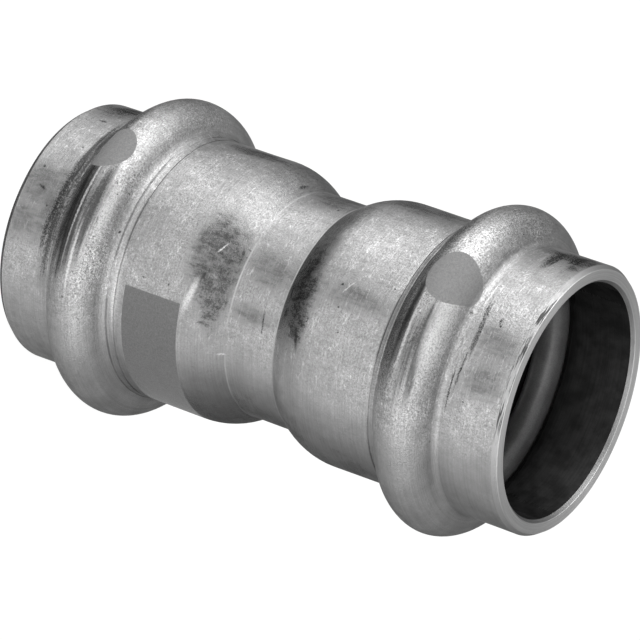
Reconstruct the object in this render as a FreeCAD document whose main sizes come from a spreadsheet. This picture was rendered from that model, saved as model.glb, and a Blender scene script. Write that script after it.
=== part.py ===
import FreeCAD, Part

import math
import os

import Sketcher

# Press fit coupling: one formed stainless tube with a socket at each end, and a seal ring in each socket's
# bead. Millimetres. It stands on its lower mouth with its axis along +Z, and the origin is the centre of
# that mouth. Distances "from the middle" run along the axis from the coupling's mid plane.

# The driving sizes
SIZES = {
    "tube_diameter": 22.0,  # outside diameter of the tube that each socket takes
    "tube_clearance": 0.15,  # radial room between that tube and its socket
    "wall": 1.6,  # thickness of the formed tube, apart from its beads
    "bead_wall": 1.25,  # thickness in the beads, where forming has stretched it thinner
    "shoulder_start": 7.3,  # from the middle to where a socket's straight wall begins
    "socket_length": 20.2,  # from there to the mouth
    "stop_depth": 1.75,  # how far the neck is drawn in from the sockets, which stops the tube
    "shoulder_arc": 6.9,  # outside radius of the shoulder between a socket and the neck
    "crease_fillet": 0.35,  # outside radius in the crease where the shoulder meets the neck
    "bead_from_mouth": 9.35,  # from the mouth back to the middle of the bead
    "socket_fillet": 1.4,  # outside radius where the bead runs into the socket
    "lip_fillet": 0.8,  # outside radius where the bead runs out into the lip
    "outer_chamfer_width": 0.35,  # the rim's chamfers, across the wall and along the axis
    "outer_chamfer_length": 0.5,
    "inner_chamfer_width": 0.3,
    "inner_chamfer_length": 0.35,
    "seal_cord": 3.2,  # thickness of the round seal ring
    "seal_projection": 0.05,  # how far the unpressed ring stands into the bore
    "seal_clearance": 0.05,  # room between the ring and the groove inside the bead
}

# What follows from them, each bound to the sheet by this rule
RULES = {
    "bore_radius": "sizes.tube_diameter / 2 + sizes.tube_clearance",
    "body_radius": "derived.bore_radius + sizes.wall",
    "neck_radius": "derived.body_radius - sizes.stop_depth",
    "shoulder_middle": "derived.body_radius - sizes.shoulder_arc",
    "half_length": "sizes.shoulder_start + sizes.socket_length",
    "bead_centre": "derived.half_length - sizes.bead_from_mouth",
    "seal_radius": "sizes.seal_cord / 2",
    "seal_midline": "derived.bore_radius - sizes.seal_projection + derived.seal_radius",
    "groove_arc": "derived.seal_radius + sizes.seal_clearance",
    "bead_arc": "derived.groove_arc + sizes.bead_wall",
    "inner_socket_fillet": "sizes.socket_fillet + sizes.bead_wall",
    "inner_lip_fillet": "sizes.lip_fillet + sizes.bead_wall",
}

# Sketcher's numbers for the points of a line or an arc, and for the origin and the radial axis
START = 1
END = 2
CENTRE = 3
ORIGIN = (-1, 1)
RADIAL_AXIS = -1


def make_sizes(doc):
    """The sheet with one named cell for each driving size, and the set of sizes that follow from them."""
    sheet = doc.addObject("Spreadsheet::Sheet", "sizes")
    for row, (name, value) in enumerate(SIZES.items(), start=1):
        sheet.set(f"A{row}", name)
        sheet.set(f"B{row}", str(value))
        sheet.setAlias(f"B{row}", name)
    doc.recompute()
    derived = doc.addObject("App::VarSet", "derived")
    for name, rule in RULES.items():
        derived.addProperty("App::PropertyFloat", name)
        derived.setExpression(name, rule)
        doc.recompute()
    return sheet, derived


def origin_plane(body, role):
    return next(item for item in body.Origin.OriginFeatures if item.Role == role)


def make_body(doc, label):
    """A body and its section sketch on the XZ plane: x is the radius, and y runs along the axis."""
    body = doc.addObject("PartDesign::Body", label)
    body.Label = label
    sketch = body.newObject("Sketcher::SketchObject", label + "_section")
    sketch.AttachmentSupport = (origin_plane(body, "XZ_Plane"), [""])
    sketch.MapMode = "FlatFace"
    return body, sketch


def revolve(body, sketch):
    """The sketch turned once round the body's own axis."""
    turned = body.newObject("PartDesign::Revolution", body.Label + "_turned")
    turned.Profile = sketch
    turned.ReferenceAxis = (sketch, ["V_Axis"])
    turned.Angle = 360
    return turned


def add_line(sketch, start, end):
    return sketch.addGeometry(Part.LineSegment(FreeCAD.Vector(*start, 0), FreeCAD.Vector(*end, 0)), False)


def add_arc(sketch, centre, radius, start_angle, end_angle):
    circle = Part.Circle(FreeCAD.Vector(*centre, 0), FreeCAD.Vector(0, 0, 1), radius)
    return sketch.addGeometry(Part.ArcOfCircle(circle, start_angle, end_angle), False)


def join(sketch, kind, *where):
    sketch.addConstraint(Sketcher.Constraint(kind, *where))


def drive(sketch, source, name, kind, *where):
    """A dimension that follows one size, from the sheet or from the set of sizes derived from it."""
    index = sketch.addConstraint(Sketcher.Constraint(kind, *where, getattr(source, name)))
    sketch.setExpression(f"Constraints[{index}]", f"{source.Name}.{name}")


def fillet_centre(wall_radius, fillet, arc_centre, arc_radius, side):
    """Centre of a fillet between a straight wall and a rounded form: side is -1 below it and 1 above it."""
    radius = wall_radius + fillet
    along = math.sqrt((arc_radius + fillet) ** 2 - (radius - arc_centre[0]) ** 2)
    return radius, arc_centre[1] + side * along


def angle_to(start, end):
    return math.atan2(end[1] - start[1], end[0] - start[0])


def half_section(sketch, sheet, derived):
    """The wall's section from the mid plane up to one mouth, closed along the mid plane."""
    top = derived.half_length
    shoulder = (derived.shoulder_middle, sheet.shoulder_start)
    bead = (derived.seal_midline, derived.bead_centre)
    crease_arc = sheet.crease_fillet
    crease = fillet_centre(derived.neck_radius, crease_arc, shoulder, sheet.shoulder_arc, -1)
    outer_top = top - sheet.outer_chamfer_length
    inner_top = top - sheet.inner_chamfer_length

    def side(depth, bead_arc, socket_fillet, lip_fillet, lip_top):
        """One side of the wall, from the mid plane up to the lip, at this depth below the outside."""
        body = derived.body_radius - depth
        neck = derived.neck_radius - depth
        lower = fillet_centre(body, socket_fillet, bead, bead_arc, -1)
        upper = fillet_centre(body, lip_fillet, bead, bead_arc, 1)
        upper_end = angle_to(upper, bead) + 2 * math.pi
        pieces = {
            "neck": add_line(sketch, (neck, 0), (neck, crease[1])),
            "crease": add_arc(sketch, crease, crease_arc + depth, angle_to(crease, shoulder), math.pi),
            "shoulder": add_arc(sketch, shoulder, sheet.shoulder_arc - depth, angle_to(shoulder, crease), 0),
            "socket": add_line(sketch, (body, shoulder[1]), (body, lower[1])),
            "lower": add_arc(sketch, lower, socket_fillet, angle_to(lower, bead), math.pi),
            "bead": add_arc(sketch, bead, bead_arc, angle_to(bead, lower), angle_to(bead, upper)),
            "upper": add_arc(sketch, upper, lip_fillet, math.pi, upper_end),
            "lip": add_line(sketch, (body, upper[1]), (body, lip_top)),
        }
        join(sketch, "PointOnObject", pieces["neck"], START, RADIAL_AXIS)
        for name in ("neck", "socket", "lip"):
            join(sketch, "Vertical", pieces[name])
        join(sketch, "Tangent", pieces["neck"], END, pieces["crease"], END)
        join(sketch, "Tangent", pieces["crease"], START, pieces["shoulder"], START)
        join(sketch, "Tangent", pieces["shoulder"], END, pieces["socket"], START)
        join(sketch, "Tangent", pieces["socket"], END, pieces["lower"], END)
        join(sketch, "Tangent", pieces["lower"], START, pieces["bead"], START)
        join(sketch, "Tangent", pieces["bead"], END, pieces["upper"], END)
        join(sketch, "Tangent", pieces["upper"], START, pieces["lip"], START)
        return pieces

    outside = side(0, derived.bead_arc, sheet.socket_fillet, sheet.lip_fillet, outer_top)
    inner_fillets = (derived.inner_socket_fillet, derived.inner_lip_fillet)
    inside = side(sheet.wall, derived.groove_arc, *inner_fillets, inner_top)
    for name in ("crease", "shoulder", "bead"):
        join(sketch, "Coincident", inside[name], CENTRE, outside[name], CENTRE)
    drive(sketch, sheet, "shoulder_start", "DistanceY", *ORIGIN, outside["shoulder"], CENTRE)
    drive(sketch, derived, "seal_midline", "DistanceX", *ORIGIN, outside["bead"], CENTRE)
    drive(sketch, derived, "bead_centre", "DistanceY", *ORIGIN, outside["bead"], CENTRE)
    drive(sketch, derived, "neck_radius", "DistanceX", *ORIGIN, outside["neck"], START)
    drive(sketch, sheet, "crease_fillet", "Radius", outside["crease"])
    drive(sketch, sheet, "shoulder_arc", "Radius", outside["shoulder"])
    for line in ("socket", "lip"):
        drive(sketch, derived, "body_radius", "DistanceX", *ORIGIN, outside[line], START)
        drive(sketch, derived, "bore_radius", "DistanceX", *ORIGIN, inside[line], START)
    drive(sketch, sheet, "socket_fillet", "Radius", outside["lower"])
    drive(sketch, derived, "bead_arc", "Radius", outside["bead"])
    drive(sketch, sheet, "lip_fillet", "Radius", outside["upper"])
    drive(sketch, derived, "inner_socket_fillet", "Radius", inside["lower"])
    drive(sketch, derived, "groove_arc", "Radius", inside["bead"])
    drive(sketch, derived, "inner_lip_fillet", "Radius", inside["upper"])

    # The rim, with its two chamfers, and the cut along the mid plane
    outer_edge = (derived.body_radius - sheet.outer_chamfer_width, top)
    inner_edge = (derived.bore_radius + sheet.inner_chamfer_width, top)
    outer = add_line(sketch, (derived.body_radius, outer_top), outer_edge)
    face = add_line(sketch, outer_edge, inner_edge)
    inner = add_line(sketch, inner_edge, (derived.bore_radius, inner_top))
    middle = add_line(sketch, (derived.neck_radius - sheet.wall, 0), (derived.neck_radius, 0))
    join(sketch, "Coincident", outside["lip"], END, outer, START)
    join(sketch, "Coincident", outer, END, face, START)
    join(sketch, "Coincident", face, END, inner, START)
    join(sketch, "Coincident", inner, END, inside["lip"], END)
    join(sketch, "Coincident", middle, START, inside["neck"], START)
    join(sketch, "Coincident", middle, END, outside["neck"], START)
    join(sketch, "Horizontal", face)
    drive(sketch, derived, "half_length", "DistanceY", *ORIGIN, face, START)
    drive(sketch, sheet, "outer_chamfer_width", "DistanceX", outer, END, outer, START)
    drive(sketch, sheet, "outer_chamfer_length", "DistanceY", outer, START, outer, END)
    drive(sketch, sheet, "inner_chamfer_width", "DistanceX", inner, END, inner, START)
    drive(sketch, sheet, "inner_chamfer_length", "DistanceY", inner, END, inner, START)


def make_fitting_body(doc, sheet, derived):
    """The formed tube: one half turned from its section, and mirrored in the mid plane."""
    body, sketch = make_body(doc, "fitting_body")
    half_section(sketch, sheet, derived)
    turned = revolve(body, sketch)
    doc.recompute()
    mirrored = body.newObject("PartDesign::Mirrored", "both_sockets")
    mirrored.Originals = [turned]
    mirrored.MirrorPlane = (origin_plane(body, "XY_Plane"), [""])
    mirrored.Refine = True
    body.Tip = mirrored
    body.setExpression("Placement.Base.z", "derived.half_length")
    return body


def make_seal_ring(doc, derived, label, direction):
    """A round seal ring in the bead above the mid plane (direction 1) or below it (direction -1)."""
    body, sketch = make_body(doc, label)
    middle = FreeCAD.Vector(derived.seal_midline, 0, 0)
    circle = Part.Circle(middle, FreeCAD.Vector(0, 0, 1), derived.seal_radius)
    ring = sketch.addGeometry(circle, False)
    join(sketch, "PointOnObject", ring, CENTRE, RADIAL_AXIS)
    drive(sketch, derived, "seal_midline", "DistanceX", *ORIGIN, ring, CENTRE)
    drive(sketch, derived, "seal_radius", "Radius", ring)
    body.Tip = revolve(body, sketch)
    body.setExpression("Placement.Base.z", f"derived.half_length + {direction} * derived.bead_centre")
    return body


def check(doc, parts):
    """Stops with a plain message if a feature failed, a sketch is loose or a sub-part isn't one solid."""
    for item in doc.Objects:
        if "Invalid" in item.State or "Error" in item.State:
            raise RuntimeError(f"{item.Label} failed: {item.State}")
        if item.isDerivedFrom("Sketcher::SketchObject") and not item.FullyConstrained:
            raise RuntimeError(f"{item.Label} isn't fully constrained")
    for part in parts:
        shape = part.Shape
        if shape.isNull() or not shape.isValid() or len(shape.Solids) != 1:
            raise RuntimeError(f"{part.Label} isn't one valid solid")


doc = FreeCAD.newDocument("press_fit_coupling")
sheet, derived = make_sizes(doc)
parts = [
    make_fitting_body(doc, sheet, derived),
    make_seal_ring(doc, derived, "lower_seal_ring", -1),
    make_seal_ring(doc, derived, "upper_seal_ring", 1),
]
doc.recompute()
check(doc, parts)

os.makedirs("parts", exist_ok=True)
for part in parts:
    part.Shape.exportStep(f"parts/{part.Label}.step")
    print(part.Label, "volume", round(part.Shape.Volume, 2), "mm3")
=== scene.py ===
import math

import bpy
from mathutils import Matrix, Vector, noise


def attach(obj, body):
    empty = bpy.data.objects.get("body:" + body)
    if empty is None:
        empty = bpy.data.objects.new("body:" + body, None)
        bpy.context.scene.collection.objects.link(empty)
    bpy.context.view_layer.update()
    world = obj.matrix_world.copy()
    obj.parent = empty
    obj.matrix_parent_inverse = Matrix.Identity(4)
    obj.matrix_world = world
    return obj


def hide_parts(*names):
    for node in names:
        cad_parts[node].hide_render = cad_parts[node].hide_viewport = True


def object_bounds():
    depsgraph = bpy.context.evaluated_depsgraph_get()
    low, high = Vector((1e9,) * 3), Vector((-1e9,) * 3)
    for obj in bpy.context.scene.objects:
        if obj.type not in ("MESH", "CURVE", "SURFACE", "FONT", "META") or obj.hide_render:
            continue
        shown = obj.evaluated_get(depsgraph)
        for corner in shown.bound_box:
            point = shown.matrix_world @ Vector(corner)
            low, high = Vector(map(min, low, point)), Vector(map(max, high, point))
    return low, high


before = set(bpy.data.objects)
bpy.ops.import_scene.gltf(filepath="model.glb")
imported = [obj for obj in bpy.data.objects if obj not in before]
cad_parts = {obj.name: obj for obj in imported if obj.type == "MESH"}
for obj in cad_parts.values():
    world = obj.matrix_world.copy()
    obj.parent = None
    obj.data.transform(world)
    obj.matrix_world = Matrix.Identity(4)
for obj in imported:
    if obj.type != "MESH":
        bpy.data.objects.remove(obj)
cad_low, cad_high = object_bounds()

MM = 0.001

# The coupling, in millimetres, as the frame has it. It stands on its lower mouth with its axis along +Z.
LENGTH = (cad_high.z - cad_low.z) / MM
HALF = LENGTH / 2
BORE_RADIUS = 11.15
WALL = 1.6
BEAD_WALL = 1.25
STOP_DEPTH = 1.75
SHOULDER_START = 7.3
SHOULDER_ARC = 6.9
CREASE_FILLET = 0.35
BEAD_FROM_MOUTH = 9.35
SOCKET_FILLET = 1.4
LIP_FILLET = 0.8
OUTER_CHAMFER_WIDTH = 0.35
OUTER_CHAMFER_LENGTH = 0.5
INNER_CHAMFER_WIDTH = 0.3
INNER_CHAMFER_LENGTH = 0.35
SEAL_RADIUS = 1.6
SEAL_PROJECTION = 0.05
SEAL_CLEARANCE = 0.05

BODY_RADIUS = BORE_RADIUS + WALL
NECK_RADIUS = BODY_RADIUS - STOP_DEPTH
SEAL_MIDLINE = BORE_RADIUS - SEAL_PROJECTION + SEAL_RADIUS
BEAD = HALF - BEAD_FROM_MOUTH
GROOVE_ARC = SEAL_RADIUS + SEAL_CLEARANCE
BEAD_ARC = GROOVE_ARC + BEAD_WALL

# How finely the wall is turned: faces round the axis, and the longest step and turn along its section
OUTER_SEGMENTS = 320
INNER_SEGMENTS = OUTER_SEGMENTS // 2
OUTER_STEP = 0.6
INNER_STEP = 1.2
CHAMFER_STEP = 0.2
RIM_STEP = 0.25
OUTER_TURN = math.radians(8)
INNER_TURN = math.radians(11)
SHARP_EDGE = math.radians(24)

# Multiples of that turn: the small crease is turned coarsely, and the large arcs finely
CREASE_TURNS = 2.0
SHOULDER_TURNS = 0.6
BEAD_TURNS = 0.7

# The forming die's double line where each bead begins. Close points cross it, clear of the others.
DIE_LINES = (BEAD - 4.05, BEAD - 3.4)
DIE_LINE_DEPTH = 0.045
DIE_LINE_WIDTH = 0.09
DIE_LINE_CLEAR = 0.03

# The wall's slight unevenness, which only ever sinks it, and is squeezed along the axis
WAVE_DEPTH = 0.05
WAVE_LENGTH = 7.0
WAVE_LEVEL = 0.6
WAVE_SQUEEZE = 1.4

# The three materials of the fitting, in the order of its material slots
LOWER, UPPER, INNER = range(3)

# Marks on the outside: height above the middle in mm, degrees round the axis, half sizes in mm along and
# round the axis, and tilt in degrees. Smudges are faint and stains dark, and both fade out in patches.
SMUDGES = [
    (24.8, 257.5, 2.4, 1.5, 0),
    (24.8, 274, 2.2, 1.6, 0),
    (10.0, 259, 3.5, 1.2, 0),
    (9.0, 196, 5.5, 2.6, 0),
    (4.4, 259, 1.8, 6.4, 6),
    (0.0, 257.5, 2.5, 1.9, 0),
    (0.0, 281, 2.3, 0.9, 0),
    (0.0, 198, 2.4, 3.0, 0),
    (-20.0, 196, 2.4, 3.0, 0),
    (-23.4, 262, 1.0, 3.6, 0),
    (-24.6, 198, 2.6, 3.2, 0),
    (-25.0, 256.5, 2.6, 2.1, 0),
    (-25.2, 274, 2.4, 1.8, 0),
]
STAINS = [
    (26.2, 200, 1.0, 2.8, 0),
    (24.8, 197, 2.4, 1.6, 0),
    (5.3, 274, 0.8, 2.6, 12),
    (4.8, 262, 1.1, 3.6, 8),
    (-4.0, 281, 0.8, 2.6, 0),
    (-4.5, 266, 1.5, 3.4, 6),
    (-5.0, 263, 1.6, 3.2, 0),
    (-5.4, 259, 2.0, 3.4, 0),
    (-9.5, 196, 3.2, 1.4, 0),
    (-24.4, 196, 1.2, 1.5, 0),
]

# Smears fade out in streaks round the axis. They lie along the beads and creases.
SMEARS = [
    (25.6, 199, 0.40, 1.6, 0),
    (23.9, 202, 0.50, 2.4, 0),
    (18.9, 270, 0.95, 4.4, -4),
    (17.1, 262, 0.35, 4.6, 0),
    (-17.5, 264, 0.75, 4.8, 0),
    (-19.1, 264, 0.85, 5.4, 0),
    (-21.9, 226, 0.55, 4.4, 0),
    (-22.3, 240, 0.55, 5.0, 0),
    (-22.4, 262, 0.80, 5.6, 0),
]

# Black nicks
NICKS = [
    (24.15, 249, 0.14, 0.40, 0),
    (22.70, 252, 0.12, 2.00, 5),
    (22.70, 260, 0.20, 1.15, 3),
    (22.45, 249, 0.08, 1.90, 6),
    (22.40, 272, 0.10, 1.80, -3),
    (21.90, 281, 0.08, 2.00, 0),
    (21.30, 249.5, 0.12, 0.18, 0),
    (5.60, 283, 0.16, 0.90, 14),
    (5.35, 273.8, 0.20, 0.22, 0),
    (3.40, 274.5, 0.22, 0.45, 0),
    (3.15, 264, 0.14, 0.75, 12),
    (1.05, 283, 0.08, 1.00, 4),
    (-3.15, 255, 0.10, 0.28, 0),
    (-3.30, 202.5, 0.12, 0.70, 0),
    (-4.75, 290.5, 0.28, 0.08, 10),
    (-5.40, 270.5, 0.13, 0.28, -20),
    (-18.75, 267, 0.09, 4.60, 1),
    (-22.20, 229, 0.10, 1.50, 0),
    (-22.40, 245, 0.10, 1.20, 0),
    (-24.50, 215, 0.42, 0.14, 0),
    (-25.00, 258, 0.50, 0.14, -20),
    (-25.95, 249, 0.14, 0.14, 0),
]

# Pale scratches and rubbed patches, and two painted highlights near the beads' crests
SCRATCHES_AND_HIGHLIGHTS = [
    (21.90, 239, 0.10, 1.30, 0),
    # A painted highlight: the wide bright band on the upper bead's crest
    (20.10, 263, 0.75, 3.40, -2),
    (17.70, 266, 0.14, 3.40, 0),
    (9.00, 256, 0.05, 0.60, -28),
    (-2.85, 305, 0.36, 0.09, 0),
    (-4.80, 257, 0.05, 0.55, -25),
    (-6.20, 281, 0.30, 1.60, -12),
    (-8.00, 281, 0.50, 0.05, 12),
    (-9.20, 271, 0.05, 0.60, 35),
    (-14.00, 289, 0.40, 3.40, 0),
    (-16.10, 260, 0.36, 2.60, 0),
    (-17.70, 281, 0.14, 3.20, 0),
    # A painted highlight: the thin bright line near the lower bead's crest
    (-18.55, 252, 0.11, 6.00, 0),
]

# How deep a mark reaches into the wall, and how far across the middle both halves still draw it, in mm
MARK_DEPTH = 12.0
MIDDLE_OVERLAP = 3.0

# Painted signs: two dots, given as marks, and a bar, which runs from one angle to another
DOTS = [(19.0, 242.9, 2.25, 2.70, 0), (-18.9, 237.4, 2.25, 2.55, 0)]
BAR_HEIGHTS = (-13.05, -6.9)
BAR_ANGLES = (285.2, 366.0)

# Stretches round the axis, in degrees: their middle, then how far each side they are full and how far they
# fade. The front is worn and gritty, its slopes that face the lower mouth carry painted shade, the lips'
# outer edges are chipped, and the underside of the bodies and the neck carries painted shade.
WORN = (243, 40, 32)
SHADED_SLOPES = (247, 22, 26)
CHIPPED = (259, 26, 14)
SHADED_UNDERSIDE = (352, 14, 36)

# How far from the middle the painted shade on the underside is full, and how far it fades
SHADED_UNDERSIDE_HEIGHT = (11, 9)

# How far the tone of the lips' outer edges fades, in mm across the wall and along it, and how far below its
# face the rim's own tone is full
EDGE_FADE_ACROSS = 0.1
EDGE_FADE_ALONG = 0.08
RIM_FULL = 0.03

# A painted highlight all round, along the crease where the neck begins
CREASE_HIGHLIGHT = 2.62
CREASE_HIGHLIGHT_WIDTH = 0.05

# The middle level of noise, and the levels that nearly all of it lies between
NOISE_MIDDLE = 0.5
NOISE_REACH = (0.3, 0.7)

# The textures of the steel outside, in cells for each millimetre: even ones, and then the drawn-out ones,
# first across their lines and then along them
CLOUD_CELLS = 0.22
BLOTCH_CELLS = 1.1
GRAIN_CELLS = 5.5
EDGE_CELLS = 4.0
PIT_CELLS = 0.95
DRAWN_CELLS = (1.7, 0.5)
TURNED_CELLS = (9.0, 0.12)
SMEAR_CELLS = (2.6, 0.16)
HAIRLINE_CELLS = (2.0, 0.5)
CHIP_CELLS = (6.0, 0.5)
RIM_CELLS = (14.0, 0.1)

# How far noise pushes the edges of nicks and scratches about, in mm, and a hairline's width in its noise
EDGE_REACH = 0.14
HAIRLINE_WIDTH = 0.02

# Tones, as the share of light that comes back: pairs from and to, and then what lies on the steel
STEEL_TONES = (0.228, 0.276)
RIM_TONES = (0.32, 0.42)
# The inside's tones are painted shade: nearly black, as the inside of the tube lies in shade
INNER_SHADE_TONES = (0.020, 0.029)
RUBBER_TONES = (0.105, 0.140)
UPPER_EDGE_TONE = 0.27
LOWER_EDGE_TONE = 0.12
# Shared by the pale scratches and the painted highlights near the beads' crests
SCRATCH_AND_HIGHLIGHT_TONE = 0.42
# The tone of the painted highlight along the crease where the neck begins
CREASE_HIGHLIGHT_TONE = 0.31
CHIP_TONE = 0.05
PIT_TONE = 0.04
NICK_TONE = 0.025
DOT_TONE = 0.155
BAR_TONE = 0.135

# What the textures multiply the clean steel's tone by, from and to, and the darkest that a speck makes it
TEXTURE_TONES = (0.93, 1.07)
DARKEST_SPECK = 0.3

# How much of the tone a hairline adds, and how much the dirt, the darkening along the die lines and each
# painted shade take away
HAIRLINE_SHARE = 0.5
STAIN_SHARE = 0.80
SMEAR_SHARE = 0.80
SLOPE_SHADE_SHARE = 0.62
SMUDGE_SHARE = 0.60
DIE_LINE_DARKENING = 0.5
UNDERSIDE_SHADE_SHARE = 0.30
SHOULDER_SHADE_SHARE = 0.22

# Roughness, from and to
STEEL_ROUGHNESS = (0.42, 0.50)
INNER_ROUGHNESS = (0.45, 0.60)
RUBBER_ROUGHNESS = (0.36, 0.46)

# How metallic the steel is outside, where it is bare, and inside
STEEL_METALLIC = 0.9
INNER_METALLIC = 0.8

# Its specular level, and the turn that lays its stretched reflections along the axis
STEEL_SPECULAR = 0.1
QUARTER_TURN = 0.25

# The studio, in metres: a floor and a world that look white, the world's dim fill, and two softboxes that
# stand round the coupling: degrees round the axis, lower and upper edge, width, distance, and watts
FLOOR_REACH = 6.0
FLOOR_TONE = 0.19
FLOOR_WHITE = 0.9
WORLD_WHITE = 1.0
WORLD_FILL = 0.22
SOFTBOXES = {
    "key_softbox": (200, 0.01, 0.30, 0.46, 0.50, 4.4),
    "fill_softbox": (295, 0.02, 0.45, 1.20, 0.50, 6.0),
}

# The camera, which sees the coupling's front (-Y) with the upper mouth to the right. Lengths are in mm.
CAMERA_ELEVATION = math.radians(28.84)
CAMERA_ROLL = math.radians(70.637)
CAMERA_DISTANCE = 356.1
CAMERA_LENS = 216.0
CAMERA_SIDEWAYS = 0.33
CAMERA_DOWN = 0.62


def arc(centre, radius, start, end, turn):
    """Points along an arc from one angle to another, both ends among them."""
    count = max(2, math.ceil(abs(end - start) / turn))
    angles = [start + (end - start) * i / count for i in range(count + 1)]
    return [(centre[0] + radius * math.cos(a), centre[1] + radius * math.sin(a)) for a in angles]


def line(start, end, step):
    """Points along a straight run, both ends among them."""
    count = max(1, math.ceil(math.dist(start, end) / step))
    return [tuple(a + (b - a) * i / count for a, b in zip(start, end)) for i in range(count + 1)]


def fillet_centre(wall_radius, fillet, arc_centre, arc_radius, side):
    """Centre of a fillet between a straight wall and a rounded form: side is -1 below it and 1 above it."""
    radius = wall_radius + fillet
    along = math.sqrt((arc_radius + fillet) ** 2 - (radius - arc_centre[0]) ** 2)
    return radius, arc_centre[1] + side * along


def angle_to(start, end):
    """The direction from one point of the section to another."""
    return math.atan2(end[1] - start[1], end[0] - start[0])


def wall_side(depth, bead_arc, socket_fillet, lip_fillet, lip_top, step, turn):
    """One side of the wall from the mid plane up to the lip: (radius, height above the mid plane)."""
    body = BODY_RADIUS - depth
    neck = NECK_RADIUS - depth
    shoulder = (BODY_RADIUS - SHOULDER_ARC, SHOULDER_START)
    bead = (SEAL_MIDLINE, BEAD)
    crease = fillet_centre(NECK_RADIUS, CREASE_FILLET, shoulder, SHOULDER_ARC, -1)
    lower = fillet_centre(body, socket_fillet, bead, bead_arc, -1)
    upper = fillet_centre(body, lip_fillet, bead, bead_arc, 1)
    runs = [
        line((neck, 0), (neck, crease[1]), step),
        arc(crease, CREASE_FILLET + depth, math.pi, angle_to(crease, shoulder), turn * CREASE_TURNS),
        arc(shoulder, SHOULDER_ARC - depth, angle_to(shoulder, crease), 0, turn * SHOULDER_TURNS),
        line((body, SHOULDER_START), (body, lower[1]), step),
        arc(lower, socket_fillet, math.pi, angle_to(lower, bead), turn),
        arc(bead, bead_arc, angle_to(bead, lower), angle_to(bead, upper), turn * BEAD_TURNS),
        arc(upper, lip_fillet, angle_to(upper, bead) + 2 * math.pi, math.pi, turn),
        line((body, upper[1]), (body, lip_top), step),
    ]
    points = runs[0]
    for run in runs[1:]:
        points += run[1:]
    return points


def radius_at(points, height):
    """The wall's radius at a height, between the two points on either side of it."""
    for (r, h), (next_r, next_h) in zip(points, points[1:]):
        if h <= height <= next_h:
            return r + (next_r - r) * (height - h) / (next_h - h)
    raise ValueError(f"no wall at {height}")


def with_die_lines(points):
    """The outside points, with close ones across the two die lines."""
    for middle in DIE_LINES:
        spots = [middle + DIE_LINE_WIDTH * i / 2 for i in range(-4, 5)]
        close = [(radius_at(points, spot), spot) for spot in spots]
        below = [p for p in points if p[1] < spots[0] - DIE_LINE_CLEAR]
        above = [p for p in points if p[1] > spots[-1] + DIE_LINE_CLEAR]
        points = below + close + above
    return points


def outer_half():
    """The outside from the mid plane up to the outer chamfer."""
    lip_top = HALF - OUTER_CHAMFER_LENGTH
    side = wall_side(0, BEAD_ARC, SOCKET_FILLET, LIP_FILLET, lip_top, OUTER_STEP, OUTER_TURN)
    return with_die_lines(side)


def rim_half():
    """The rim from the outer chamfer to the inner one."""
    outer_edge = (BODY_RADIUS - OUTER_CHAMFER_WIDTH, HALF)
    inner_edge = (BORE_RADIUS + INNER_CHAMFER_WIDTH, HALF)
    outside = line((BODY_RADIUS, HALF - OUTER_CHAMFER_LENGTH), outer_edge, CHAMFER_STEP)
    face = line(outer_edge, inner_edge, RIM_STEP)
    inside = line(inner_edge, (BORE_RADIUS, HALF - INNER_CHAMFER_LENGTH), RIM_STEP)
    return outside[1:] + face[1:] + inside[1:]


def inner_half():
    """The inside from the mid plane up to the inner chamfer, a wall away from the outside."""
    fillets = (SOCKET_FILLET + BEAD_WALL, LIP_FILLET + BEAD_WALL)
    return wall_side(WALL, GROOVE_ARC, *fillets, HALF - INNER_CHAMFER_LENGTH, INNER_STEP, INNER_TURN)


def bump(distance, width):
    """1 at no distance, easing to 0 within about two widths."""
    return math.exp(-((distance / width) ** 2))


def sunk(radius, height, angle):
    """How far the outside lies below its ideal form here, always inward, so it stays in the frame's box."""
    grooves = sum(bump(abs(height) - middle, DIE_LINE_WIDTH) for middle in DIE_LINES)
    spot = Vector((radius * math.cos(angle), radius * math.sin(angle), height * WAVE_SQUEEZE)) / WAVE_LENGTH
    wave = (noise.noise(spot) + WAVE_LEVEL) * WAVE_DEPTH
    return DIE_LINE_DEPTH * grooves + max(0.0, wave)


def ring(radius, height, segments, is_outside):
    """One turn of points, at a height above the mid plane."""
    points = []
    for i in range(segments):
        angle = 2 * math.pi * i / segments
        r = radius - (sunk(radius, height, angle) if is_outside else 0)
        points.append((r * math.cos(angle) * MM, r * math.sin(angle) * MM, (height + HALF) * MM))
    return points


def mirrored(points):
    """The points of one half, carried on from the lower half's mirror image."""
    return [(r, -h) for r, h in reversed(points)][:-1] + points


def strip(low, high, segments):
    """Faces between two turns of as many points, whose first points are low and high."""
    faces = []
    for i in range(segments):
        j = (i + 1) % segments
        faces.append((low + i, low + j, high + j, high + i))
    return faces


def halving_strip(fine, coarse, is_flipped):
    """Faces from a fine turn to one of half as many points."""
    faces = []
    for i in range(INNER_SEGMENTS):
        a, b = coarse + i, coarse + (i + 1) % INNER_SEGMENTS
        p, q, r = fine + 2 * i, fine + 2 * i + 1, fine + (2 * i + 2) % OUTER_SEGMENTS
        faces += [(a, p, q), (a, q, b), (b, q, r)]
    return [face if is_flipped else face[::-1] for face in faces]


def fitting_faces(outside, inner_count):
    """The faces between all turns of points, the outside ones first, and the material slot of each."""
    faces, slots = [], []
    for k in range(len(outside) - 1):
        faces += strip(k * OUTER_SEGMENTS, (k + 1) * OUTER_SEGMENTS, OUTER_SEGMENTS)
        slots += [LOWER if outside[k][1] < 0 else UPPER] * OUTER_SEGMENTS
    first = len(outside) * OUTER_SEGMENTS
    for k in range(inner_count - 1):
        faces += strip(first + k * INNER_SEGMENTS, first + (k + 1) * INNER_SEGMENTS, INNER_SEGMENTS)
    last = first + (inner_count - 1) * INNER_SEGMENTS
    faces += halving_strip((len(outside) - 1) * OUTER_SEGMENTS, first, False)
    faces += halving_strip(0, last, True)
    slots += [INNER] * (len(faces) - len(slots))
    return faces, slots


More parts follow.
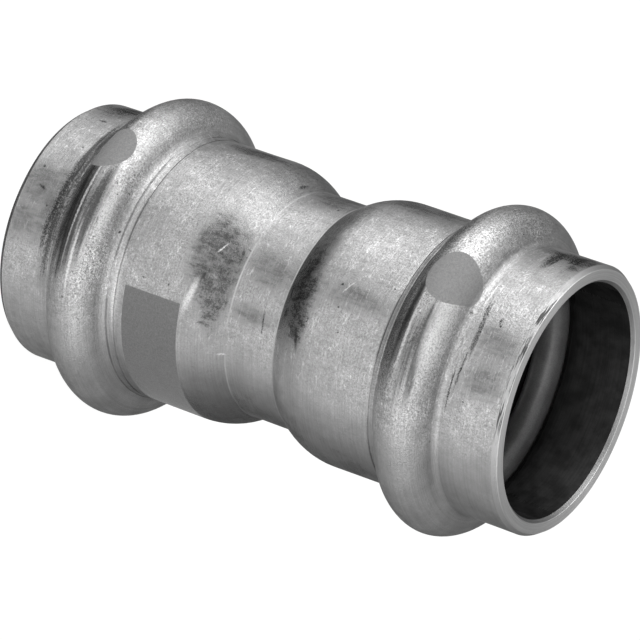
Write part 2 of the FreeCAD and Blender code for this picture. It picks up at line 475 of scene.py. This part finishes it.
def make_fitting(lower, upper, inner):
    """The formed tube as one closed mesh: the outside and rims turned finely, the inside half as finely."""
    rim = rim_half()
    outside = [(r, -h) for r, h in reversed(rim)] + mirrored(outer_half()) + rim
    inside = mirrored(inner_half())[1:-1]
    rings = [ring(r, h, OUTER_SEGMENTS, True) for r, h in outside]
    rings += [ring(r, h, INNER_SEGMENTS, False) for r, h in reversed(inside)]
    faces, slots = fitting_faces(outside, len(inside))
    mesh = bpy.data.meshes.new("fitting_body_formed")
    mesh.from_pydata([point for turn in rings for point in turn], [], faces)
    for material in (lower, upper, inner):
        mesh.materials.append(material)
    mesh.polygons.foreach_set("material_index", slots)
    mesh.polygons.foreach_set("use_smooth", [True] * len(faces))
    mesh.set_sharp_from_angle(angle=SHARP_EDGE)
    mesh.validate()
    piece = bpy.data.objects.new("fitting_body_formed", mesh)
    bpy.context.scene.collection.objects.link(piece)
    return piece


class Graph:
    """A material's nodes, with short calls for the ones used here, which return output sockets.

    It keeps what the masks read: the position in mm, the height above the middle, the radius, the angle as
    its cosine and sine, and how far the surface faces up, from -1 to 1.
    """

    def __init__(self, name):
        self.material = bpy.data.materials.new(name)
        self.material.use_nodes = True
        self.nodes = self.material.node_tree.nodes
        self.links = self.material.node_tree.links
        self.shader = self.nodes["Principled BSDF"]

        coordinates = self.nodes.new("ShaderNodeTexCoord")
        in_mm = self.nodes.new("ShaderNodeVectorMath")
        in_mm.operation = "SCALE"
        self.links.new(coordinates.outputs["Object"], in_mm.inputs[0])
        in_mm.inputs["Scale"].default_value = 1 / MM
        self.vector = in_mm.outputs[0]
        x, y, z = self.split(self.vector)
        self.height = self.compute("SUBTRACT", z, HALF)
        self.radius = self.compute("SQRT", self.plus(self.times(x, x), self.times(y, y)))
        self.cosine = self.compute("DIVIDE", x, self.radius)
        self.sine = self.compute("DIVIDE", y, self.radius)
        self.tip = self.split(coordinates.outputs["Normal"])[2]

    def put(self, socket, value):
        """Link a socket to another one's value, or set it to a number."""
        if isinstance(value, bpy.types.NodeSocket):
            self.links.new(value, socket)
        else:
            socket.default_value = value

    def compute(self, operation, *values):
        """The result of one maths node."""
        node = self.nodes.new("ShaderNodeMath")
        node.operation = operation
        for socket, value in zip(node.inputs, values):
            self.put(socket, value)
        return node.outputs[0]

    def plus(self, first, second):
        return self.compute("ADD", first, second)

    def times(self, first, second):
        return self.compute("MULTIPLY", first, second)

    def scaled(self, value, gain, level):
        """The value times a gain, on top of a level."""
        return self.compute("MULTIPLY_ADD", value, gain, level)

    def between(self, share, least, most):
        """From least to most as the share goes from 0 to 1."""
        return self.scaled(share, most - least, least)

    def centred(self, value, gain):
        """Noise turned into a number about 0."""
        return self.scaled(value, gain, -gain * NOISE_MIDDLE)

    def darkened(self, tone, mask, share):
        """The tone, less this share of it where the mask is 1."""
        return self.times(tone, self.scaled(mask, -share, 1.0))

    def spread(self, value, low, high, to_low=0.0, to_high=1.0):
        """The value eased from one range to another, and held at its ends."""
        node = self.nodes.new("ShaderNodeMapRange")
        node.interpolation_type = "SMOOTHSTEP"
        for socket, given in zip(node.inputs, (value, low, high, to_low, to_high)):
            self.put(socket, given)
        return node.outputs[0]

    def mix(self, share, first, second):
        """The first value where the share is 0, and the second where it is 1."""
        node = self.nodes.new("ShaderNodeMix")
        for name, value in (("Factor", share), ("A", first), ("B", second)):
            self.put(node.inputs[name], value)
        return node.outputs[0]

    def split(self, vector):
        """The three numbers of a vector."""
        node = self.nodes.new("ShaderNodeSeparateXYZ")
        self.links.new(vector, node.inputs[0])
        return node.outputs[:]

    def noise(self, vector, scale, detail=2.0, rough=0.5, w=None):
        """Smooth noise about 0.5, with this many cells for each step of the vector."""
        node = self.nodes.new("ShaderNodeTexNoise")
        if w is not None:
            node.noise_dimensions = "4D"
            self.put(node.inputs["W"], w)
        self.put(node.inputs["Vector"], vector)
        node.inputs["Scale"].default_value = scale
        node.inputs["Detail"].default_value = detail
        node.inputs["Roughness"].default_value = rough
        return node.outputs[0]

    def cells(self, vector, scale):
        """The distance to the nearest cell's middle, and that cell's own random number."""
        node = self.nodes.new("ShaderNodeTexVoronoi")
        self.put(node.inputs["Vector"], vector)
        node.inputs["Scale"].default_value = scale
        colour = self.nodes.new("ShaderNodeSeparateColor")
        self.links.new(node.outputs["Color"], colour.inputs[0])
        return node.outputs["Distance"], colour.outputs[0]

    def streaks(self, across, along, detail=2.0):
        """Noise in lines round the axis: across and along are its cells for each millimetre."""
        node = self.nodes.new("ShaderNodeCombineXYZ")
        self.put(node.inputs[0], self.times(self.radius, across))
        self.put(node.inputs[1], self.times(self.height, across))
        self.put(node.inputs[2], self.times(self.cosine, along * BODY_RADIUS))
        return self.noise(node.outputs[0], 1.0, detail, w=self.times(self.sine, along * BODY_RADIUS))

    def drawn_out(self, across, along):
        """Noise in lines along the axis: across and along are its cells for each millimetre."""
        node = self.nodes.new("ShaderNodeVectorMath")
        node.operation = "MULTIPLY"
        self.links.new(self.vector, node.inputs[0])
        node.inputs[1].default_value = (across, across, along)
        return self.noise(node.outputs[0], 1.0, detail=4.0, rough=0.7)

    def hairlines(self, across, along):
        """Thin lines that wind round the axis, where the noise of streaks crosses its middle level."""
        streaks = self.streaks(across, along, detail=1.0)
        away = self.compute("ABSOLUTE", self.compute("SUBTRACT", streaks, NOISE_MIDDLE))
        return self.spread(away, 0.0, HAIRLINE_WIDTH, 1.0, 0.0)

    def near_height(self, height, core, soft):
        """1 within core of this height above the middle, and 0 past soft beyond that."""
        away = self.compute("ABSOLUTE", self.compute("SUBTRACT", self.height, height))
        return self.spread(away, core, core + soft, 1.0, 0.0)

    def near_angle(self, angle, core, soft):
        """The same round the axis, in degrees."""
        turn = math.radians(angle)
        along_x = self.times(self.cosine, math.cos(turn))
        along_y = self.times(self.sine, math.sin(turn))
        ends = math.cos(math.radians(core + soft)), math.cos(math.radians(core))
        return self.spread(self.plus(along_x, along_y), *ends)

    def marked(self, vector, marks, soft):
        """1 inside each of a group of oval marks on the outside, and 0 elsewhere."""
        total = 0.0
        for height, angle, tall, wide, tilt in marks:
            turn = math.radians(angle)
            node = self.nodes.new("ShaderNodeMapping")
            node.vector_type = "TEXTURE"
            self.links.new(vector, node.inputs["Vector"])
            spot = (BODY_RADIUS * math.cos(turn), BODY_RADIUS * math.sin(turn), height + HALF)
            node.inputs["Location"].default_value = spot
            node.inputs["Rotation"].default_value = (math.radians(tilt), 0, turn)
            node.inputs["Scale"].default_value = (MARK_DEPTH, wide, tall)
            length = self.nodes.new("ShaderNodeVectorMath")
            length.operation = "LENGTH"
            self.links.new(node.outputs[0], length.inputs[0])
            total = self.spread(length.outputs["Value"], 1 - soft, 1 + soft, 1.0, total)
        return total

    def ragged(self, scale, reach):
        """The position, pushed about by noise, so that what is drawn with it has ragged edges."""
        node = self.nodes.new("ShaderNodeTexNoise")
        self.links.new(self.vector, node.inputs["Vector"])
        node.inputs["Scale"].default_value = scale
        node.inputs["Detail"].default_value = 3.0
        push = self.nodes.new("ShaderNodeVectorMath")
        push.operation = "MULTIPLY_ADD"
        self.links.new(node.outputs["Color"], push.inputs[0])
        push.inputs[1].default_value = (2 * reach,) * 3
        push.inputs[2].default_value = (-reach,) * 3
        total = self.nodes.new("ShaderNodeVectorMath")
        self.links.new(push.outputs[0], total.inputs[0])
        self.links.new(self.vector, total.inputs[1])
        return total.outputs[0]

    def set_metal(self, metallic, edge_tint, stretch):
        """Metal whose reflections darken at its edges and stretch along the axis, as on a turned tube."""
        self.put(self.shader.inputs["Metallic"], metallic)
        self.shader.inputs["Specular Tint"].default_value = (edge_tint, edge_tint, edge_tint, 1)
        self.shader.inputs["Specular IOR Level"].default_value = STEEL_SPECULAR
        tangent = self.nodes.new("ShaderNodeTangent")
        tangent.direction_type = "RADIAL"
        tangent.axis = "Z"
        self.links.new(tangent.outputs[0], self.shader.inputs["Tangent"])
        self.shader.inputs["Anisotropic"].default_value = stretch
        self.shader.inputs["Anisotropic Rotation"].default_value = QUARTER_TURN

    def finish(self, tone, rough, bump_height, bump_strength, bump_distance):
        """Link the surface to the shader. The bump's distance is in mm."""
        self.links.new(tone, self.shader.inputs["Base Color"])
        self.links.new(rough, self.shader.inputs["Roughness"])
        node = self.nodes.new("ShaderNodeBump")
        node.inputs["Strength"].default_value = bump_strength
        node.inputs["Distance"].default_value = bump_distance * MM
        self.links.new(bump_height, node.inputs["Height"])
        self.links.new(node.outputs[0], self.shader.inputs["Normal"])
        return self.material


def middle_and_half(ends):
    """The middle of a stretch between two ends, and half its length."""
    return sum(ends) / 2, (ends[1] - ends[0]) / 2


class OuterSteel(Graph):
    """The outside's steel on the lower half (side -1) or the upper one (side 1).

    It is the same steel on both, but a single material can't hold all the marks.
    """

    def __init__(self, name, side):
        super().__init__(name)
        self.side = side
        self.clouds = self.noise(self.vector, CLOUD_CELLS, detail=3.0, rough=0.55)
        self.blotches = self.noise(self.vector, BLOTCH_CELLS, detail=4.0, rough=0.65)
        self.grain = self.noise(self.vector, GRAIN_CELLS, detail=2.0, rough=1.0)
        self.specks = self.centred(self.grain, 2.4)
        self.drawn = self.drawn_out(*DRAWN_CELLS)
        self.turned = self.streaks(*TURNED_CELLS)
        self.smeared = self.streaks(*SMEAR_CELLS, detail=3.0)
        self.worn = self.near_angle(*WORN)

    def here(self, marks):
        """The marks on this half, with those that reach across the middle."""
        return [mark for mark in marks if mark[0] * self.side > -MIDDLE_OVERLAP]

    def broken_up(self, marks, noise_sum, low, high):
        """A group of soft marks, broken up by noise where they fade out."""
        faded = self.marked(self.vector, self.here(marks), soft=0.8)
        broken = self.spread(self.plus(faded, noise_sum), low, high)
        return self.times(broken, self.spread(faded, 0.0, 0.35))

    def clean(self):
        """The tone of clean steel: cloudy and finely lined, and gritty on the beads and where it is worn."""
        tone = self.spread(self.clouds, *NOISE_REACH, *STEEL_TONES)
        tone = self.times(tone, self.spread(self.blotches, 0.25, 0.75, *TEXTURE_TONES))
        tone = self.times(tone, self.spread(self.turned, *NOISE_REACH, *TEXTURE_TONES))
        lines = self.times(self.centred(self.drawn, 0.6), self.between(self.worn, 0.15, 0.95))
        tone = self.times(tone, self.plus(lines, 1.0))
        bead = self.spread(self.radius, BODY_RADIUS + 0.2, BODY_RADIUS + 1.4)
        grit = self.times(self.between(bead, 0.5, 1.0), self.spread(self.clouds, 0.35, 0.65, 0.7, 1.3))
        grit = self.times(grit, self.between(self.worn, 0.2, 1.35))
        gritty = self.scaled(self.times(self.specks, grit), 1.05, 1.0)
        return self.times(tone, self.compute("MAXIMUM", gritty, DARKEST_SPECK))

    def with_painted_shade(self, tone):
        """The tone, less painted shade on the slopes that face the lower mouth, on the shoulder that faces
        the upper mouth and on the underside of the bodies and the neck.
        """
        # Painted shade on the slopes that face the lower mouth, at the front
        slope_shade = self.spread(self.tip, -0.42, -0.06, 1.0, 0.0)
        slope_shade = self.times(slope_shade, self.near_angle(*SHADED_SLOPES))
        # Painted shade on the shoulder that faces the upper mouth, which dims its highlight
        shoulder = self.spread(self.radius, BODY_RADIUS + 0.1, BODY_RADIUS - 0.1)
        shoulder = self.times(shoulder, self.spread(self.tip, 0.02, 0.3))
        # Painted shade on the underside of the bodies and the neck
        underside_shade = self.times(self.near_angle(*SHADED_UNDERSIDE), self.near_height(0, *SHADED_UNDERSIDE_HEIGHT))
        tone = self.darkened(tone, slope_shade, SLOPE_SHADE_SHARE)
        tone = self.darkened(tone, shoulder, SHOULDER_SHADE_SHARE)
        return self.darkened(tone, underside_shade, UNDERSIDE_SHADE_SHARE)

    def soiled(self, tone):
        """The tone under the smudges, stains and smears."""
        patchy = self.plus(self.centred(self.drawn, 2.2), self.centred(self.blotches, 1.2))
        patchy = self.plus(patchy, self.specks)
        streaky = self.plus(self.centred(self.smeared, 2.5), self.times(self.specks, 1.3))
        tone = self.darkened(tone, self.broken_up(SMUDGES, patchy, low=0.2, high=1.5), SMUDGE_SHARE)
        tone = self.darkened(tone, self.broken_up(STAINS, patchy, low=0.1, high=1.5), STAIN_SHARE)
        return self.darkened(tone, self.broken_up(SMEARS, streaky, low=0.1, high=1.1), SMEAR_SHARE)

    def scratched(self, tone):
        """The tone with fine bright lines, pale scratches, painted highlights near the beads' crests, black
        nicks and pits on it.
        """
        hairs = self.times(self.hairlines(*HAIRLINE_CELLS), self.spread(self.blotches, 0.42, 0.58))
        tone = self.times(tone, self.scaled(self.times(hairs, self.worn), HAIRLINE_SHARE, 1.0))
        edges = self.ragged(EDGE_CELLS, EDGE_REACH)
        # Pale scratches and rubbed patches, and the painted highlights near the beads' crests
        pale = self.marked(edges, self.here(SCRATCHES_AND_HIGHLIGHTS), soft=0.6)
        pale = self.times(pale, self.spread(self.grain, 0.35, 0.6, 0.4, 1.0))
        tone = self.mix(pale, tone, SCRATCH_AND_HIGHLIGHT_TONE)
        nicks = self.marked(edges, self.here(NICKS), soft=0.5)
        nicks = self.times(nicks, self.spread(self.grain, 0.4, 0.6, 0.95, 0.4))
        tone = self.mix(nicks, tone, NICK_TONE)
        distance, chance = self.cells(edges, PIT_CELLS)
        pits = self.times(self.spread(distance, 0.07, 0.14, 1.0, 0.0), self.spread(chance, 0.90, 0.91))
        return self.mix(self.times(pits, self.worn), tone, PIT_TONE)

    def lined(self, tone):
        """The tone with a painted highlight along the crease where the neck begins, and darker along the die
        lines.
        """
        # A painted highlight along the crease where the neck begins
        crease = self.near_height(CREASE_HIGHLIGHT * self.side, CREASE_HIGHLIGHT_WIDTH, soft=0.05)
        tone = self.mix(self.times(crease, self.spread(self.smeared, 0.35, 0.65)), tone, CREASE_HIGHLIGHT_TONE)
        for middle in DIE_LINES:
            # Darker along the die lines
            along_die_line = self.near_height(middle * self.side, core=0.04, soft=0.07)
            along_die_line = self.times(along_die_line, self.spread(self.smeared, 0.4, 0.6))
            tone = self.darkened(tone, along_die_line, DIE_LINE_DARKENING)
        return tone

    def edged(self, tone):
        """The tone with the lips' chipped outer edges and the turned face of the upper rim."""
        edge_radius = BODY_RADIUS - OUTER_CHAMFER_WIDTH
        edge_height = HALF - OUTER_CHAMFER_LENGTH
        outer = self.spread(self.radius, edge_radius - EDGE_FADE_ACROSS, edge_radius)
        from_middle = self.compute("ABSOLUTE", self.height)
        end = self.spread(from_middle, edge_height, edge_height + EDGE_FADE_ALONG)
        chips = self.spread(self.streaks(*CHIP_CELLS, detail=6.0), 0.46, 0.56)
        chips = self.times(chips, self.near_angle(*CHIPPED))
        edge = self.mix(chips, LOWER_EDGE_TONE if self.side < 0 else UPPER_EDGE_TONE, CHIP_TONE)
        tone = self.mix(self.times(outer, end), tone, edge)
        rim = self.spread(self.height, HALF - EDGE_FADE_ALONG, HALF - RIM_FULL)
        return self.mix(rim, tone, self.spread(self.streaks(*RIM_CELLS), *NOISE_REACH, *RIM_TONES))

    def painted(self, tone):
        """The tone with the painted dots and bar on it, and 1 where there is paint."""
        dots = self.marked(self.vector, DOTS, soft=0.015)
        bar = self.near_height(*middle_and_half(BAR_HEIGHTS), soft=0.05)
        bar = self.times(bar, self.near_angle(*middle_and_half(BAR_ANGLES), soft=0.3))
        paint = self.times(self.mix(dots, BAR_TONE, DOT_TONE), self.scaled(self.specks, 0.4, 1.0))
        is_painted = self.compute("MAXIMUM", dots, bar)
        return self.mix(is_painted, tone, paint), is_painted


def make_outer_steel(name, side):
    """The steel of one half's outside, with all that lies on it, from the metal up to the paint."""
    steel = OuterSteel(name, side)
    tone = steel.scratched(steel.soiled(steel.with_painted_shade(steel.clean())))
    tone, is_painted = steel.painted(steel.edged(steel.lined(tone)))
    rough = steel.spread(steel.blotches, 0.2, 0.8, *STEEL_ROUGHNESS)
    height = steel.plus(steel.grain, steel.times(steel.turned, 0.5))
    steel.set_metal(steel.between(is_painted, STEEL_METALLIC, 0.0), edge_tint=0.15, stretch=0.75)
    return steel.finish(tone, rough, height, bump_strength=0.5, bump_distance=0.10)


def make_inner_steel():
    """The dull steel of the inside, toned nearly black as painted shade, since the inside of the tube lies
    in shade.
    """
    graph = Graph("inner_steel_painted_shade")
    blotches = graph.noise(graph.vector, 0.7, detail=3.0, rough=0.6)
    turned = graph.streaks(across=6.0, along=0.1)
    # Painted shade: the inside's tone is nearly black
    tone = graph.spread(blotches, *NOISE_REACH, *INNER_SHADE_TONES)
    tone = graph.times(tone, graph.spread(turned, *NOISE_REACH, 0.9, 1.1))
    rough = graph.spread(blotches, 0.2, 0.8, *INNER_ROUGHNESS)
    graph.set_metal(INNER_METALLIC, edge_tint=0.3, stretch=0.5)
    return graph.finish(tone, rough, turned, bump_strength=0.2, bump_distance=0.05)


def make_rubber():
    """The seal rings' rubber."""
    graph = Graph("seal_rubber")
    clouds = graph.noise(graph.vector, 0.5, detail=3.0, rough=0.6)
    grain = graph.noise(graph.vector, 9.0, detail=2.0, rough=0.6)
    tone = graph.spread(clouds, *NOISE_REACH, *RUBBER_TONES)
    tone = graph.times(tone, graph.spread(grain, *NOISE_REACH, 0.85, 1.15))
    rough = graph.spread(grain, 0.2, 0.8, *RUBBER_ROUGHNESS)
    return graph.finish(tone, rough, grain, bump_strength=0.15, bump_distance=0.03)


def seen_directly(tree, strength):
    """The given strength for camera, glossy and transmission rays, and 0 for others."""
    path = tree.nodes.new("ShaderNodeLightPath")
    total = path.outputs["Is Camera Ray"]
    for kind in ("Is Glossy Ray", "Is Transmission Ray"):
        node = tree.nodes.new("ShaderNodeMath")
        node.operation = "MAXIMUM"
        tree.links.new(total, node.inputs[0])
        tree.links.new(path.outputs[kind], node.inputs[1])
        total = node.outputs[0]
    scaled = tree.nodes.new("ShaderNodeMath")
    scaled.operation = "MULTIPLY"
    tree.links.new(total, scaled.inputs[0])
    scaled.inputs[1].default_value = strength
    return scaled.outputs[0]


def make_floor_material():
    """White to the camera and to reflections, apart from the object's soft shadow."""
    material = bpy.data.materials.new("floor_white")
    material.use_nodes = True
    tree = material.node_tree
    tree.nodes.clear()
    diffuse = tree.nodes.new("ShaderNodeBsdfDiffuse")
    diffuse.inputs["Color"].default_value = (FLOOR_TONE, FLOOR_TONE, FLOOR_TONE, 1)
    glow = tree.nodes.new("ShaderNodeEmission")
    tree.links.new(seen_directly(tree, FLOOR_WHITE), glow.inputs["Strength"])
    both = tree.nodes.new("ShaderNodeAddShader")
    tree.links.new(diffuse.outputs[0], both.inputs[0])
    tree.links.new(glow.outputs[0], both.inputs[1])
    output = tree.nodes.new("ShaderNodeOutputMaterial")
    tree.links.new(both.outputs[0], output.inputs[0])
    return material


def make_floor():
    """A plain floor, level with the lower mouth."""
    mesh = bpy.data.meshes.new("floor")
    signs = ((-1, -1), (1, -1), (1, 1), (-1, 1))
    mesh.from_pydata([(x * FLOOR_REACH, y * FLOOR_REACH, 0) for x, y in signs], [], [(0, 1, 2, 3)])
    mesh.materials.append(make_floor_material())
    floor = bpy.data.objects.new("floor", mesh)
    bpy.context.scene.collection.objects.link(floor)


def make_world():
    """White as seen directly, and a dim fill on the object."""
    world = bpy.data.worlds.new("studio")
    bpy.context.scene.world = world
    world.use_nodes = True
    tree = world.node_tree
    background = tree.nodes["Background"]
    lit = tree.nodes.new("ShaderNodeMath")
    lit.operation = "MAXIMUM"
    tree.links.new(seen_directly(tree, WORLD_WHITE), lit.inputs[0])
    lit.inputs[1].default_value = WORLD_FILL
    background.inputs["Color"].default_value = (1, 1, 1, 1)
    tree.links.new(lit.outputs[0], background.inputs["Strength"])


def make_lamps():
    """The softboxes, each upright and turned to the axis."""
    for name, (angle, low_edge, high_edge, width, distance, power) in SOFTBOXES.items():
        outward = Vector((math.cos(math.radians(angle)), math.sin(math.radians(angle)), 0))
        data = bpy.data.lights.new(name, "AREA")
        data.shape = "RECTANGLE"
        data.size = width
        data.size_y = high_edge - low_edge
        data.energy = power
        lamp = bpy.data.objects.new(name, data)
        lamp.location = outward * distance + Vector((0, 0, (low_edge + high_edge) / 2))
        lamp.rotation_mode = "QUATERNION"
        lamp.rotation_quaternion = outward.to_track_quat("Z", "Y")
        bpy.context.scene.collection.objects.link(lamp)


def camera_axes():
    """The camera's right, up and backward directions."""
    ahead = Vector((0, math.cos(CAMERA_ELEVATION), -math.sin(CAMERA_ELEVATION)))
    level = Vector((1, 0, 0))
    upright = level.cross(ahead)
    right = level * -math.cos(CAMERA_ROLL) + upright * math.sin(CAMERA_ROLL)
    up = right.cross(ahead)
    return right, up, -ahead


def make_camera():
    """A camera at the photograph's viewing angle, moved a little so that the coupling fills the frame."""
    right, up, back = camera_axes()
    data = bpy.data.cameras.new("camera")
    data.lens = CAMERA_LENS
    camera = bpy.data.objects.new("camera", data)
    bpy.context.scene.collection.objects.link(camera)
    middle = Vector((0, 0, HALF))
    spot = middle + right * CAMERA_SIDEWAYS - up * CAMERA_DOWN + back * CAMERA_DISTANCE
    turned = Matrix((right, up, back)).transposed().to_4x4()
    camera.matrix_world = Matrix.Translation(spot * MM) @ turned
    bpy.context.scene.camera = camera


lower_steel = make_outer_steel("formed_steel_lower", -1)
upper_steel = make_outer_steel("formed_steel_upper", 1)
fitting = make_fitting(lower_steel, upper_steel, make_inner_steel())
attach(fitting, "root")
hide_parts("fitting_body")
rubber = make_rubber()
for name in ("lower_seal_ring", "upper_seal_ring"):
    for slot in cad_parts[name].material_slots:
        slot.material = rubber

make_floor()
make_world()
make_lamps()
make_camera()
bpy.context.scene.view_settings.view_transform = "Standard"
